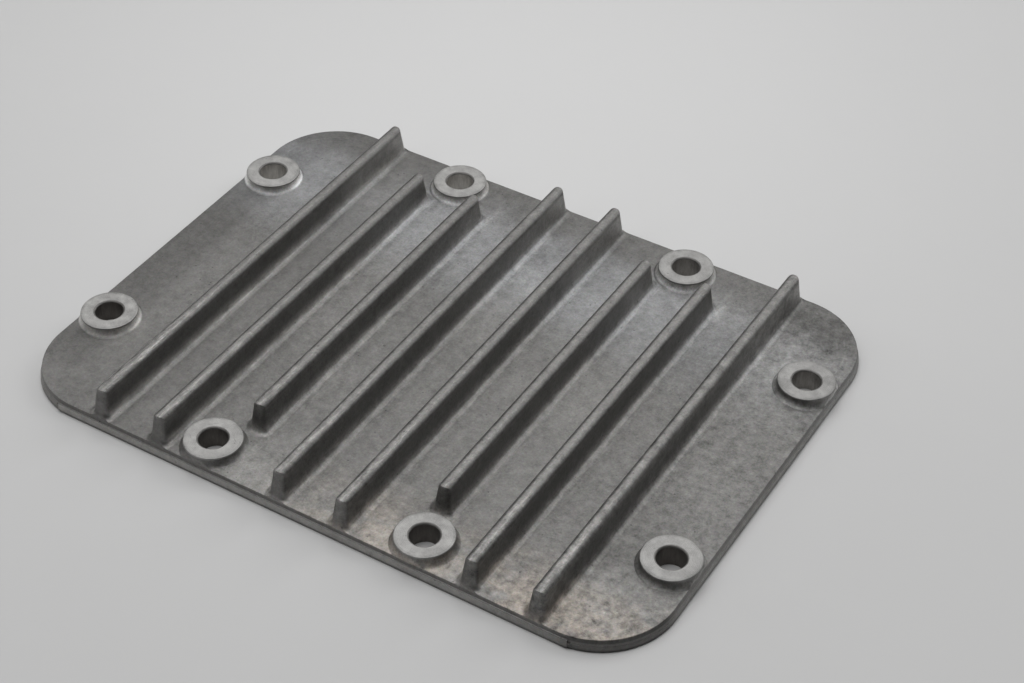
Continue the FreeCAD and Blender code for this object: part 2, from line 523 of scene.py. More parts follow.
@dataclass(frozen=True)
class CastSkin:
    """As cast aluminium, with its trimmed land and its drilled walls.

    Attributes:
        colour: the skin's own colour.
        sheen_colour: its colour under a painted sheen, in the band behind the middle.
        warm: the colour of the patches that the die soap left near the gate.
        machined: the colour of the chamfer at each hole's mouth.
        shaded_drilled: the darkest and lightest colours of a drilled wall under painted shade.
        lit_drilled: those of one under painted light.
        tone_patches: soft lighter or darker patches on the plate's top.
        roughness: of the skin.
        metal: how metallic the skin is.
        grain: depth of the skin's fine grain in millimetres.
        ripple: depth of its broad waves.
        drilling: depth of the marks on the drilled walls.
        edge_round: radius of the sharpest edges.
        root_highlight: how much lighter the painted highlight makes the blends at the fins' roots.
        flank_painted_shade: how much darker the painted shade makes the middle of a fin's flank.
        crest_highlight: how much lighter the painted highlight makes the middle of a fin's crest.
        worn: how much lighter the worn near parts of the crests are.
        ticks: how much lighter the small knocks on the crests are.
        rim: how much darker the painted shade makes the plate inside its far edge.
        pit: how much darker the small pits are.
    """

    colour: Colour = (0.226, 0.222, 0.2145)
    sheen_colour: Colour = (0.326, 0.328, 0.331)
    warm: Colour = (0.375, 0.335, 0.295)
    machined: Colour = (0.22, 0.215, 0.208)
    shaded_drilled: tuple[Colour, Colour] = ((0.075, 0.069, 0.063), (0.23, 0.215, 0.20))
    lit_drilled: tuple[Colour, Colour] = ((0.22, 0.21, 0.20), (0.82, 0.80, 0.76))
    # soft lighter or darker patches on the plate's top
    tone_patches: tuple[TonePatch, ...] = (
        TonePatch(-30.0, 10.0, 9.0, 34.0, 0.13), TonePatch(1.7, 20.0, 9.0, 22.0, 0.11),
        TonePatch(49.5, 28.0, 9.0, 14.0, -0.13), TonePatch(-64.5, 2.0, 9.0, 52.0, 0.08),
        TonePatch(64.0, -30.0, 9.0, 15.0, -0.12), TonePatch(66.0, 47.0, 11.0, 11.0, -0.15),
        TonePatch(-46.0, 20.0, 9.0, 17.0, -0.07), TonePatch(9.6, 44.0, 17.0, 12.0, -0.11),
        TonePatch(-14.0, -50.0, 11.0, 14.0, 0.16), TonePatch(66.0, 37.0, 9.0, 12.0, 0.16),
        TonePatch(33.3, 2.0, 9.0, 14.0, 0.10), TonePatch(69.0, -47.0, 14.0, 14.0, 0.10),
        TonePatch(-14.0, -14.0, 9.0, 22.0, 0.08), TonePatch(66.0, -12.0, 12.0, 22.0, 0.05))
    roughness: float = 0.52
    metal: float = 0.92
    grain: float = 0.096
    ripple: float = 0.05
    drilling: float = 0.02
    edge_round: float = 0.25
    root_highlight: float = 0.34
    flank_painted_shade: float = 0.20
    crest_highlight: float = 0.30
    worn: float = 0.85
    ticks: float = 0.55
    rim: float = 0.13
    pit: float = 0.45

    def build(self, sizes: CoverSizes) -> bpy.types.Material:
        """Make the material.

        Args:
            sizes: the casting's sizes, which place the land, the holes and the patches.

        Returns:
            The material.
        """
        shade = CoverShade("cast_skin", sizes)
        mottle = shade.noise(2.6, 5.0, rough=0.65, shift=4.0)
        grain = shade.noise(0.62, 4.0, rough=0.72, shift=9.0)
        warm = self._warm_patches(shade)
        # painted sheen: a paler, cooler colour in a band behind the middle
        colour = shade.mix(self._painted_sheen_band(shade), self.colour, self.sheen_colour)
        colour = shade.mix(warm, colour, self.warm)
        level = self._level(shade, mottle, grain)
        for factor in (self._rim_bands, self._tone, self._boss_root, self._fins, self._pits,
                       self._side_wall):
            level = level * factor(shade)
        colour = shade.hued(shade.tinted(colour, level), 0.45, 0.13)
        wall = self._hole_wall(shade)
        colour = shade.mix(wall, colour, self._drilled_colour(shade))
        colour = shade.mix(self._mouth(shade), colour, self.machined)
        rough = self.roughness + (mottle - 0.5) * 0.22 + (grain - 0.5) * 0.16 + warm * 0.06
        normal = self._normal(shade, wall, grain * 0.6 + mottle * 0.4)
        return shade.finish({"Base Color": colour, "Metallic": self.metal,
                             "Roughness": rough, "Normal": normal})

    @staticmethod
    def _coarseness(shade: CoverShade) -> Wire:
        """How coarse the skin's grain is: least at the left and on the walls."""
        gate = shade.in_from_gate.rise(22.0, 8.0) * shade.x.rise(-30.0, 40.0)
        corner = shade.y.rise(34.0, 50.0) * shade.x.rise(45.0, 66.0)
        middle, right = shade.x.rise(-42.0, -28.0), shade.x.rise(40.0, 63.0)
        more = 0.10 + middle * 0.18 + right * 0.55 + gate * 0.75 + corner * 0.3
        return 0.72 + more * shade.above.rise(-0.5, -0.1)

    def _level(self, shade: CoverShade, mottle: Wire, grain: Wire) -> Wire:
        """Brightness of the skin from its clouds down to its finest grain."""
        coarse = self._coarseness(shade)
        cloud = shade.noise(11.0, 4.0)
        flow = shade.noise(5.0, 3.0, stretch=(0.35, 5.0, 1.0), shift=2.0)
        speck = shade.noise(0.3, 2.0, rough=0.8, shift=14.0)
        lumps = shade.noise(1.5, 3.0, rough=0.6, shift=25.0)
        fine = (grain - 0.5) * 0.84 + (speck - 0.5) * 0.44
        broad = (mottle - 0.5) * 0.80 + (lumps - 0.5) * 0.56
        mean = 0.81
        return (mean + cloud * 0.20 + (flow - 0.5) * 0.12
                + fine * coarse.least(1.1) + broad * coarse)

    def _tone(self, shade: CoverShade) -> Wire:
        """Slow drift of the skin's brightness over the plate's top."""
        left = shade.x.rise(-50.0, -72.0) * shade.y.rise(22.0, -10.0)
        gate = shade.y.rise(-47.0, -56.0) * shade.x.between(-40.0, -12.0, 38.0, 66.0)
        right = shade.x.rise(30.0, 60.0) * shade.y.between(-46.0, -38.0, -5.0, 20.0)
        tone = left * 0.07 + gate * 0.26 - right * 0.06
        for tone_patch in self.tone_patches:
            tone = tone + tone_patch.build(shade)
        return 1.0 + tone * shade.top * shade.above.rise(1.8, 0.4)

    @staticmethod
    def _painted_sheen_band(shade: CoverShade) -> Wire:
        """1 in the band of painted sheen that crosses the plate behind the middle."""
        reach = (shade.noise(9.0, 3.0, shift=21.0, warp=0.4) - 0.5) * 14.0
        band = (shade.y + reach).between(10.0, 33.0, 41.0, 57.0)
        across = shade.x.rise(82.0, 20.0) * 0.75 + 0.25
        first_gap = 1.0 - shade.x.window(-46.0, 5.5, 8.5) * 0.62
        return band * across * first_gap * shade.above.rise(1.6, 0.3)

    @staticmethod
    def _warm_patches(shade: CoverShade) -> Wire:
        """1 where the skin is paler and warmer, near the gate side's right end."""
        reach = shade.noise(7.0, 4.0, shift=3.0, warp=0.6)
        right = shade.x.rise(-18.0, 20.0) * 0.8 + shade.x.rise(30.0, 48.0) * 0.2
        speckle = shade.noise(1.2, 4.0, rough=0.75, shift=8.0)
        patch = shade.in_from_gate.rise(22.0, 4.0) * right * reach.rise(0.30, 0.60)
        return (patch * (0.15 + speckle * 1.1) * shade.top
                * shade.above.rise(3.0, 0.0)).least(1.0)

    def _rim_bands(self, shade: CoverShade) -> Wire:
        """Painted shade in soft dark bands inside the far and left edges, and fine bright witness
        lines in its corners.
        """
        wave = (shade.noise(12.0, 3.0, shift=17.0) - 0.5) * 5.0
        low = shade.above.rise(3.0, 0.5)
        edge = self.rim + shade.x.rise(44.0, 66.0) * 0.12 + shade.x.rise(-45.0, -65.0) * 0.06
        # painted shade along the far and left edges
        far = shade.y.rise(41.0, 49.0) * (shade.depth + wave).rise(12.5, 7.0) * edge
        left = (shade.x.rise(-60.0, -66.0) * (shade.depth + wave).rise(13.5, 9.0)
                * shade.y.window(0.0, 40.0, 52.0) * 0.21)
        corners = shade.y.rise(30.0, 44.0) * abs(shade.x).rise(54.0, 66.0)
        broken = shade.noise(3.0, 3.0, shift=27.0).rise(0.40, 0.62)
        lines = shade.depth.window(3.4, 0.0, 0.30) + shade.depth.window(5.1, 0.0, 0.22) * 0.6
        return (1.0 - far.most(left) * low) * (1.0 + lines * corners * broken * low * 0.22)

    @staticmethod
    def _boss_root(shade: CoverShade) -> Wire:
        """Painted light on the blends at the bosses' roots: much lighter at the left and at the far
        side, a little lighter low down at the right.
        """
        sizes, above = shade.sizes, shade.above
        blend = (shade.away.between(sizes.hole_radius + 0.6, sizes.hole_radius + 1.0,
                                    sizes.boss_radius + 1.2, sizes.boss_radius + 2.2)
                 * above.between(0.02, 0.3, 1.5, 2.4))
        # painted light: the root blends lighter at the left and the far side, and a little at the
        # right
        painted_light = shade.x.rise(-45.0, -65.0) * 1.9 + shade.y.rise(25.0, 45.0) * 2.0
        mild = shade.x.rise(35.0, 60.0) * above.rise(1.3, 0.5) * 0.55
        return 1.0 + blend * (above.rise(0.0, 0.55) * painted_light + mild + 0.06)

    @staticmethod
    def _side_wall(shade: CoverShade) -> Wire:
        """Side wall, with the trimmed gate land along the near side."""
        sizes, z = shade.sizes, shade.z
        wall = z.between(0.0, 0.3, sizes.plate_top - 0.2, sizes.plate_top - 0.02)
        height = z.between(0.45, 0.95, sizes.land_top - 0.25, sizes.land_top + 0.05)
        front = shade.in_from_gate.rise(0.8, 0.5)
        end, fade = sizes.land_half_length, 0.4
        strip = front * shade.x.window(0.0, end - fade, end + fade)
        land = strip * height * (0.88 - shade.x.rise(35.0, 60.0) * 0.42)
        belt = height * (1.0 - front) * 0.34
        corner = shade.x.rise(60.0, 68.0) * shade.y.rise(-38.0, -46.0) * 0.48
        return 1.0 + wall * (land + belt - corner - strip * (1.0 - height) * 0.08)

    def _fins(self, shade: CoverShade) -> Wire:
        """Fins: painted highlight on the root blends and on the plate at their feet, painted light
        and shade on the flanks, painted shade on the near ends and a worn crest.
        """
        x, y, above = shade.x, shade.y, shade.above
        shift, pitch = shade.sizes.fin_shift, shade.sizes.fin_pitch
        past = ((x - shift) / pitch + 0.5).math("FRACT") * pitch
        left = x.rise(-15.0, -40.0)
        scuffs = shade.noise(1.6, 4.0, stretch=(0.6, 4.0, 1.0), rough=0.7, shift=33.0)
        broken = 0.25 + scuffs.rise(0.30, 0.70) * 1.5
        # painted highlight along the root blends, broken up by scuffs
        root = (above.between(0.04, 0.45, 0.9, 1.9) * (self.root_highlight + left * 0.2) * broken
                * (1.0 - y.rise(5.0, 25.0) * 0.45))
        # painted light low on the flanks, stronger at the left
        low = above.between(0.5, 1.2, 1.0, 3.2) * (0.30 + left * 0.45)
        # painted shade on the upper flanks, mostly on their near halves
        dark = (above.between(1.6, 2.8, 5.0, 5.9) * self.flank_painted_shade
                * (1.0 - y.rise(0.0, 30.0) * 0.9))
        second_and_last_but_one = abs(x - shift).window(2.5 * pitch, 3.0, 5.0)
        # painted light on the flanks' far parts, except on the second and last but one fins
        glow = (y.rise(27.0, 40.0) * above.between(0.6, 1.3, 5.4, 6.4) * 0.45
                * (1.0 - second_and_last_but_one))
        flank = (root + low + glow - dark) * shade.in_from_gate.rise(1.2, 2.2)
        # painted shade on the fins' near ends
        ends = shade.in_from_gate.rise(1.6, 1.1) * above.rise(0.3, 1.0) * 0.16
        # painted highlight on the plate beside each fin's foot
        foot = (past.between(2.0, 2.7, 3.3, 5.2) * above.rise(0.3, 0.05)
                * y.window(0.0, 44.0, 56.0) * x.between(-56.0, -50.0, 62.0, 66.0)
                * (0.22 - left * 0.12) * broken)
        clear = shade.away.rise(shade.sizes.boss_radius + 0.9, shade.sizes.boss_radius + 2.2)
        crest = self._crest(shade, past.least(pitch - past))
        return 1.0 + (flank + foot + crest - ends) * clear

    def _crest(self, shade: CoverShade, middle: Wire) -> Wire:
        """Change of brightness on the fins' crests.

        Args:
            shade: the builder.
            middle: distance across to the nearest fin's middle, in millimetres.

        Returns:
            The change.
        """
        streak = shade.noise(1.1, 4.0, stretch=(0.6, 5.0, 1.0), rough=0.7, shift=31.0)
        worn = streak.rise(0.46, 0.70) * (shade.y.rise(-14.0, -40.0)
                                          * (0.7 + shade.x.rise(-35.0, -50.0) * 0.6))
        knocks = shade.noise(0.7, 3.0, stretch=(0.7, 2.2, 1.0), rough=0.7, shift=37.0)
        ticks = knocks.rise(0.58, 0.76)
        # painted highlight along the middle of each crest
        line = middle.rise(1.1, 0.4) * self.crest_highlight
        return (shade.above.rise(6.4, 6.95)
                * (worn * self.worn + ticks * self.ticks + line - 0.12))

    @staticmethod
    def _hole_wall(shade: CoverShade) -> Wire:
        """1 on the drilled walls."""
        radius, top = shade.sizes.hole_radius, shade.sizes.boss_top
        return shade.away.rise(radius + 0.12, radius + 0.03) * shade.z.rise(top - 0.1, top - 0.55)

    @staticmethod
    def _mouth(shade: CoverShade) -> Wire:
        """1 on the chamfer at each hole's mouth."""
        radius, top = shade.sizes.hole_radius, shade.sizes.boss_top
        return shade.away.rise(radius + 0.5, radius + 0.35) * shade.z.rise(top - 0.6, top - 0.25)

    def _drilled_colour(self, shade: CoverShade) -> Wire:
        """Colour of the drilled walls: painted light at the far side, painted shade elsewhere."""
        streak = shade.noise(0.7, 4.0, stretch=(1.0, 1.0, 5.0), rough=0.7, shift=41.0)
        # painted light: the drilled walls at the far side lighter, the rest darker
        lit_drilled = shade.y.rise(20.0, 28.0) * (shade.x.rise(0.0, -28.0) * 0.55 + 0.45)
        return shade.mix(lit_drilled, shade.mix(streak, *self.shaded_drilled), shade.mix(streak, *self.lit_drilled))

    def _normal(self, shade: CoverShade, wall: Wire, grain: Wire) -> Wire:
        """The skin's normal: soft edges, waves and grain, or tool marks on drilled walls."""
        rounded = shade.wire("ShaderNodeBevel", {"samples": 4},
                             {"Radius": self.edge_round * MM})
        waves = shade.bump(shade.noise(4.2, 2.0, shift=1.0), self.ripple, rounded)
        fine = shade.bump(grain, self.grain, waves)
        tool = shade.noise(0.35, 2.0, stretch=(8.0, 8.0, 0.5))
        drill = shade.bump(tool, self.drilling, rounded)
        return shade.wire("ShaderNodeMix", {"data_type": "VECTOR"}, {0: wall, 4: fine, 5: drill},
                          1)

    def _pits(self, shade: CoverShade) -> Wire:
        """Small dark pits in the skin."""
        spread = shade.noise(14.0, 2.0, shift=6.0)
        spot = shade.cells(3.1, 2.0) + (0.5 - spread) * 0.10
        return 1.0 - spot.rise(0.085, 0.03) * self.pit


@dataclass(frozen=True)
class TurnedFace:
    """Bright spot faced metal with fine rings round each screw hole.

    Attributes:
        colour: the metal's colour.
        roughness: across the tool marks.
        metal: how metallic it is.
        pitch: distance from one tool mark to the next, in millimetres.
        depth: how deep the marks are.
    """

    colour: Colour = (0.40, 0.395, 0.385)
    roughness: float = 0.56
    metal: float = 0.95
    pitch: float = 0.34
    depth: float = 0.006

    def build(self, sizes: CoverSizes) -> bpy.types.Material:
        """Make the material.

        Args:
            sizes: the casting's sizes, which centre the marks.

        Returns:
            The material.
        """
        shade = CoverShade("turned_face", sizes)
        blur = shade.noise(3.0, 3.0, shift=5.0)
        grain = shade.noise(0.4, 3.0, rough=0.7, shift=7.0)
        turns = shade.away * (2 * math.pi / self.pitch) + blur * 2.5
        rings = turns.math("SINE") * 0.5 + 0.5
        worn = shade.noise(2.0, 4.0, shift=11.0)
        # painted shade: the ring darker towards its outer edge
        rim = shade.away.rise(sizes.boss_radius - 0.7, sizes.boss_radius - 0.1)
        fine = shade.noise(0.3, 2.0, rough=0.8, shift=15.0)
        drift = 0.955 - shade.x * 0.0016
        level = drift * (0.67 + worn * 0.65 + (rings - 0.5) * 0.12 + (grain - 0.5) * 0.42
                         + (fine - 0.5) * 0.30 + (blur - 0.5) * 0.80 - rim * 0.16)
        marks = self._scratches(shade, sizes)
        nicks = shade.cells(1.7, 3.0).rise(0.16, 0.06) * worn.rise(0.46, 0.62)
        colour = shade.tinted(self.colour, level * (1.0 - marks * 0.35) * (1.0 - nicks * 0.38))
        rough = self.roughness + (worn - 0.5) * 0.2 + (grain - 0.5) * 0.1
        normal = shade.bump(rings * 0.5 + grain * 0.5 - marks * 0.8, self.depth)
        return shade.finish({"Base Color": colour, "Metallic": self.metal,
                             "Roughness": rough, "Normal": normal})

    @staticmethod
    def _scratches(shade: Shade, sizes: CoverSizes) -> Wire:
        """1 on a few fine scratches across the near left face."""
        x, y = min(sizes.rows[-1].places())
        marks = shade.stroke((x - 3.6, y + 2.6), (x - 1.6, y + 4.4), 0.12)
        for start, end in (((-2.9, 4.9), (-1.9, 4.2)), ((3.6, 2.4), (5.2, 1.4)),
                           ((4.6, 2.2), (5.4, 2.9)), ((-5.0, -1.6), (-3.9, -2.9))):
            marks = marks.most(shade.stroke((x + start[0], y + start[1]),
                                            (x + end[0], y + end[1]), 0.10))
        return marks


@dataclass(frozen=True)
class OxideSpeck:
    """Dull oxide in the specks of the skin.

    Attributes:
        colour: its darkest colour.
        light: its lightest colour.
        roughness: of its crumbs.
        metal: how metallic it is.
        depth: depth of its grain in millimetres.
    """

    colour: Colour = (0.075, 0.072, 0.068)
    light: Colour = (0.16, 0.155, 0.15)
    roughness: float = 0.75
    metal: float = 0.2
    depth: float = 0.01

    def build(self) -> bpy.types.Material:
        """Make the material."""
        shade = Shade("oxide_speck")
        grain = shade.noise(0.2, 3.0, rough=0.7)
        colour = shade.tinted(shade.mix(grain, self.colour, self.light), 0.7 + grain * 0.6)
        return shade.finish({"Base Color": colour, "Metallic": self.metal,
                             "Roughness": self.roughness + (grain - 0.5) * 0.2,
                             "Normal": shade.bump(grain, self.depth)})


@dataclass(frozen=True)
class PaleTable:
    """Plain matt pale table top, with a painted pool of light round one point.

    Attributes:
        colour: its colour.
        roughness: of its surface.
        light_pool_centre: the middle of the painted pool of light, in millimetres.
    """

    colour: Colour = (0.612, 0.611, 0.610)
    roughness: float = 0.8
    light_pool_centre: tuple[float, float] = (-46.0, 91.0)

    def build(self) -> bpy.types.Material:
        """Make the material."""
        shade = Shade("pale_table")
        drift = shade.noise(90.0, 3.0)
        smudge = shade.noise(9.0, 4.0, rough=0.6, shift=12.0)
        across, along = shade.x - self.light_pool_centre[0], shade.y - self.light_pool_centre[1]
        away = (across * across + along * along) ** 0.5
        # painted pool of light: lighter near its middle, darker further out
        level = 1.075 - away.rise(10.0, 190.0) * 0.15 - away.rise(150.0, 330.0) * 0.04
        level = level + (drift - 0.5) * 0.03 + (smudge - 0.5) * 0.012
        colour = shade.tinted(self.colour, level)
        return shade.finish({"Base Color": colour, "Roughness": self.roughness})


# ---------------------------------------------------------------- sub-assemblies


class Grower(Tree):
    """Builder for a Geometry Nodes tree with named number inputs, held in given."""

    def __init__(self, name: str, values: dict[str, Number]) -> None:
        """Start a tree.

        Args:
            name: the tree's name.
            values: its inputs; whole numbers become integer sockets.
        """
        super().__init__(bpy.data.node_groups.new(name, "GeometryNodeTree"))
        self.values = values
        kinds = {title: "NodeSocketInt" if isinstance(value, int) else "NodeSocketFloat"
                 for title, value in values.items()}
        for title, kind in {"Geometry": "NodeSocketGeometry", **kinds}.items():
            self.nodes.interface.new_socket(title, in_out="INPUT", socket_type=kind)
        self.nodes.interface.new_socket("Geometry", in_out="OUTPUT",
                                        socket_type="NodeSocketGeometry")
        start = self.node("NodeGroupInput")
        self.given = {socket.name: Wire(self, socket) for socket in start.outputs if socket.name}

    def grid(self) -> tuple[Wire, Wire, Wire]:
        """A flat grid to bend into a ring: Segments steps round and Bands across.

        Returns:
            The grid, the angle round the ring, and the share of the way across it.
        """
        flat = self.wire("GeometryNodeMeshGrid", None,
                         {"Size X": 1.0, "Size Y": 1.0,
                          "Vertices X": self.given["Segments"] + 1,
                          "Vertices Y": self.given["Bands"] + 1})
        across, along, _ = self.parts(self.wire("GeometryNodeInputPosition"))
        return flat, across * (2 * math.pi), along + 0.5

    def moved(self, geometry: Wire, name: str, vector: Wire) -> Wire:
        """Move vertices, with name Position for where to or Offset for how far."""
        return self.wire("GeometryNodeSetPosition", None, {"Geometry": geometry, name: vector})

    def on_points(self, piece: Wire, inputs: Optional[dict[str, Wire]] = None) -> Wire:
        """Put a piece on each point of the input, as real geometry."""
        placed = self.wire("GeometryNodeInstanceOnPoints", None,
                           {"Points": self.given["Geometry"], "Instance": piece,
                            **(inputs or {})})
        return self.wire("GeometryNodeRealizeInstances", None, {0: placed})

    def rings(self, flat: Wire, bend: tuple[Wire, Wire, Wire],
              limits: tuple[Wire, ...] = ()) -> Wire:
        """Bend a grid into a ring and put one on each point.

        Args:
            flat: the grid.
            bend: each vertex's radius, angle and height.
            limits: half the length and width that the rings are trimmed to.

        Returns:
            The rings.
        """
        radius, turn, height = bend
        bent = self.vector(radius * turn.math("COSINE"), radius * turn.math("SINE"), height)
        laid = self.on_points(self.moved(flat, "Position", bent))
        if limits:
            place = self.parts(self.wire("GeometryNodeInputPosition"))
            held = [value.least(limit).most(-limit) for value, limit in zip(place, limits)]
            laid = self.moved(laid, "Position", self.vector(*held, place[2]))
        return self.wire("GeometryNodeMergeByDistance", None,
                         {"Geometry": laid, "Distance": SEAM})

    def smoothed(self, geometry: Wire) -> Wire:
        """Shade geometry smooth and make its instances real."""
        smooth = self.wire("GeometryNodeSetShadeSmooth", None,
                           {"Geometry": geometry, "Shade Smooth": True})
        return self.wire("GeometryNodeRealizeInstances", None, {0: smooth})

    def close(self, geometry: Wire, material: bpy.types.Material) -> None:
        """Close the tree, with its geometry in one material."""
        dressed = self.wire("GeometryNodeSetMaterial", None,
                            {"Geometry": geometry, "Material": material})
        self.node("NodeGroupOutput", None, {0: dressed})

    def run(self, maker: bpy.types.Object) -> bpy.types.Object:
        """Run the tree and keep its result as a plain mesh object of the tree's name.

        Args:
            maker: the object that the tree starts from; it is removed.

        Returns:
            The new object, at the origin.
        """
        modifier = maker.modifiers.new(self.nodes.name, "NODES")
        modifier.node_group = self.nodes
        for item in self.nodes.interface.items_tree:
            if item.in_out == "INPUT" and item.name in self.values:
                modifier[item.identifier] = self.values[item.name]
        depsgraph = bpy.context.evaluated_depsgraph_get()
        mesh = bpy.data.meshes.new_from_object(maker.evaluated_get(depsgraph),
                                               depsgraph=depsgraph)
        bpy.data.objects.remove(maker)
        return linked(self.nodes.name, mesh)


def linked(name: str, data: Any) -> bpy.types.Object:
    """Put an object with the given mesh, lamp or camera data into the scene."""
    made = bpy.data.objects.new(name, data)
    bpy.context.scene.collection.objects.link(made)
    return made


def point_object(name: str, points: list[tuple[float, float, float]],
                 joined: bool = False) -> bpy.types.Object:
    """An object whose vertices are the given points.

    Args:
        name: the object's name.
        points: its vertices, in millimetres.
        joined: whether an edge joins each to the next.

    Returns:
        The object.
    """
    edges = [(number, number + 1) for number in range(len(points) - 1)] if joined else []
    mesh = bpy.data.meshes.new(name)
    mesh.from_pydata([tuple(value * MM for value in point) for point in points], edges, [])
    return linked(name, mesh)


@dataclass
class Casting:
    """The cover's one casting, on its CAD solid.

    Attributes:
        sizes: the casting's sizes.
        skin: its finish.
        crease: the angle, in degrees, above which an edge stays sharp.
    """

    sizes: CoverSizes
    skin: CastSkin = field(default_factory=CastSkin)
    crease: float = 24.0

    def dress(self) -> bpy.types.Object:
        """Smooth the solid's curved faces and give it its finish.

        Returns:
            The CAD node's object.
        """
        cover = frame["nodes"][COVER]
        cover.data.materials.clear()
        cover.data.materials.append(self.skin.build(self.sizes))
        smooth = cover.modifiers.new("smooth_curves", "NODES")
        smooth.node_group = self._smoothing()
        cover.modifiers.new("flat_faces_stay_flat", "WEIGHTED_NORMAL").keep_sharp = True
        return cover

    def _smoothing(self) -> bpy.types.NodeTree:
        """Tree that joins loose triangles and shades all but the creases smooth."""
        tree = Grower("smooth_curves", {})
        joined = tree.wire("GeometryNodeMergeByDistance", None,
                           {"Geometry": tree.given["Geometry"], "Distance": LOOSE})
        smooth = tree.wire("GeometryNodeSetShadeSmooth", {"domain": "FACE"},
                           {"Geometry": joined, "Shade Smooth": True})
        angle = tree.wire("GeometryNodeInputMeshEdgeAngle")
        gentle = tree.wire("FunctionNodeCompare",
                           {"operation": "LESS_THAN", "data_type": "FLOAT"},
                           {0: angle, 1: math.radians(self.crease)})
        edges = tree.wire("GeometryNodeSetShadeSmooth", {"domain": "EDGE"},
                          {"Geometry": smooth, "Shade Smooth": gentle})
        tree.node("NodeGroupOutput", None, {0: edges})
        return tree.nodes


@dataclass
class SpotFaces:
    """Machined rings on the eight bosses.

    Attributes:
        sizes: the casting's sizes.
        finish: their finish.
        lift: how far the rings lie above the solid, in millimetres.
        mouth: width of the chamfer at a hole's mouth, which they leave bare.
        lip: how far the thin burr at their rim stands out of the boss.
        rim_drop: how far the burr's rounded edge falls.
        crowding: how closely the bands crowd at the rim; 1 spaces them evenly.
        segments: how many steps go round a ring.
        bands: how many go across it.
    """

    sizes: CoverSizes
    finish: TurnedFace = field(default_factory=TurnedFace)
    lift: float = 0.012
    mouth: float = 0.40
    lip: float = 0.24
    rim_drop: float = 0.38
    crowding: float = 1.8
    segments: int = 96
    bands: int = 22

    def build(self) -> bpy.types.Object:
        """Lay a ring on every boss.

        Returns:
            One object with the eight rings.
        """
        tree = Grower("spot_faces", {
            "Inner Radius": (self.sizes.hole_radius + self.mouth) * MM,
            "Outer Radius": (self.sizes.boss_radius + self.lip) * MM,
            "Lift": self.lift * MM, "Rim": self.lip * MM, "Rim Drop": self.rim_drop * MM,
            "Segments": self.segments, "Bands": self.bands})
        self._shape(tree)
        places = self.sizes.bosses(self.sizes.boss_top)
        rings = tree.run(point_object("spot_face_places", places))
        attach(rings, "root")
        return rings

    def _shape(self, tree: Grower) -> None:
        """Bend a grid into a ring and put one on each point."""
        outer, inner = tree.given["Outer Radius"], tree.given["Inner Radius"]
        flat, turn, share = tree.grid()
        radius = outer + (inner - outer) * share ** self.crowding
        out = ((radius - outer) / tree.given["Rim"] + 1.0).most(0.0).least(1.0)
        fall = 1.0 - (1.0 - out * out).most(0.0) ** 0.5
        height = tree.given["Lift"] - tree.given["Rim Drop"] * fall
        rings = tree.rings(flat, (radius, turn, height))
        tree.close(tree.smoothed(rings), self.finish.build(self.sizes))


@dataclass
class BossSkirts:
    """Concave cast blends from the bosses' walls down to the plate.

    Attributes:
        sizes: the casting's sizes.
        finish: the material of the casting's skin.
        reach: how far the blend spreads from the wall, in millimetres.
        height: how far up the wall it starts.
        fullness: 0 for a hollow blend and 1 for a straight cone.
        proud: how far the blend's ends stand off the solid.
        segments: how many steps go round a blend.
        bands: how many go down it.
    """

    sizes: CoverSizes
    finish: bpy.types.Material
    reach: float = 1.15
    height: float = 1.7
    fullness: float = 0.5
    proud: float = 0.01
    segments: int = 96
    bands: int = 12

    def build(self) -> bpy.types.Object:
        """Lay a blend round every boss, trimmed flush with the plate's edge.

        Returns:
            One object with the eight blends.
        """
        edge = self.sizes.lean + self.proud
        tree = Grower("boss_skirts", {
            "Wall Radius": (self.sizes.boss_radius + self.proud) * MM,
            "Reach": self.reach * MM, "Height": self.height * MM,
            "Fullness": self.fullness, "Proud": self.proud * MM,
            "Half Length": (self.sizes.high.x - edge) * MM,
            "Half Width": (self.sizes.high.y - edge) * MM,
            "Segments": self.segments, "Bands": self.bands})
        self._shape(tree)
        places = self.sizes.bosses(self.sizes.plate_top)
        skirts = tree.run(point_object("boss_skirt_places", places))
        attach(skirts, "root")
        return skirts

    def _shape(self, tree: Grower) -> None:
        """Bend a grid into a concave blend and put one on each point."""
        given = tree.given
        flat, turn, share = tree.grid()
        angle = share * (math.pi / 2)
        cone, hollow = given["Fullness"], 1.0 - given["Fullness"]
        outward = 1.0 - (cone * share + hollow * angle.math("SINE"))
        upward = cone * share + hollow * (1.0 - angle.math("COSINE"))
        radius = given["Wall Radius"] + given["Reach"] * outward
        height = given["Height"] * upward + given["Proud"] * share
        skirts = tree.rings(flat, (radius, turn, height),
                            (given["Half Length"], given["Half Width"]))
        tree.close(tree.smoothed(skirts), self.finish)


